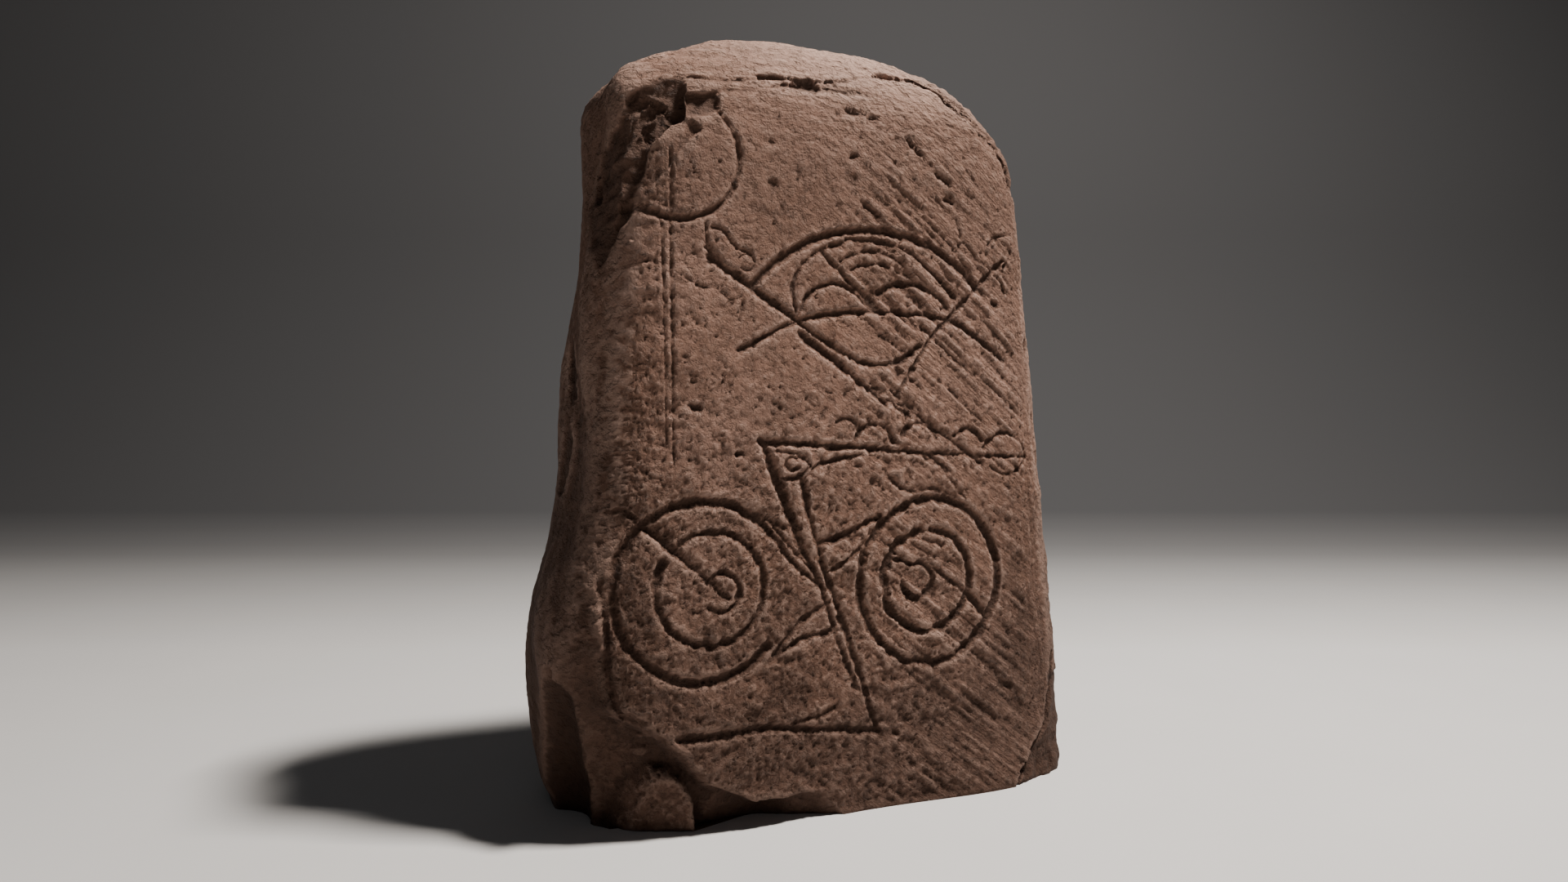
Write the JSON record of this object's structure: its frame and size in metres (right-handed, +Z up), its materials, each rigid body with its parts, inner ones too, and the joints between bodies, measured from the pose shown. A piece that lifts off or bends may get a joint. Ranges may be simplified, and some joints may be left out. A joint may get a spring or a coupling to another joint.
{
  "type": "pictish symbol stone",
  "caption": "Upright slab of sandstone with a broken foot; its face is incised with a crescent and V-rod, a double disc and Z-rod and a mirror.",
  "frame": {"origin": "middle of the slab on its flat underside", "axes": "+X to the right along the carved face, +Y away from the viewer through the slab, +Z up"},
  "size_m": [0.9645, 0.4416, 1.268],
  "materials": {
    "sandstone": "rough, pecked and weathered, dry"
  },
  "bodies": {
    "root": {"stone": "sandstone"}
  },
  "joints": []
}
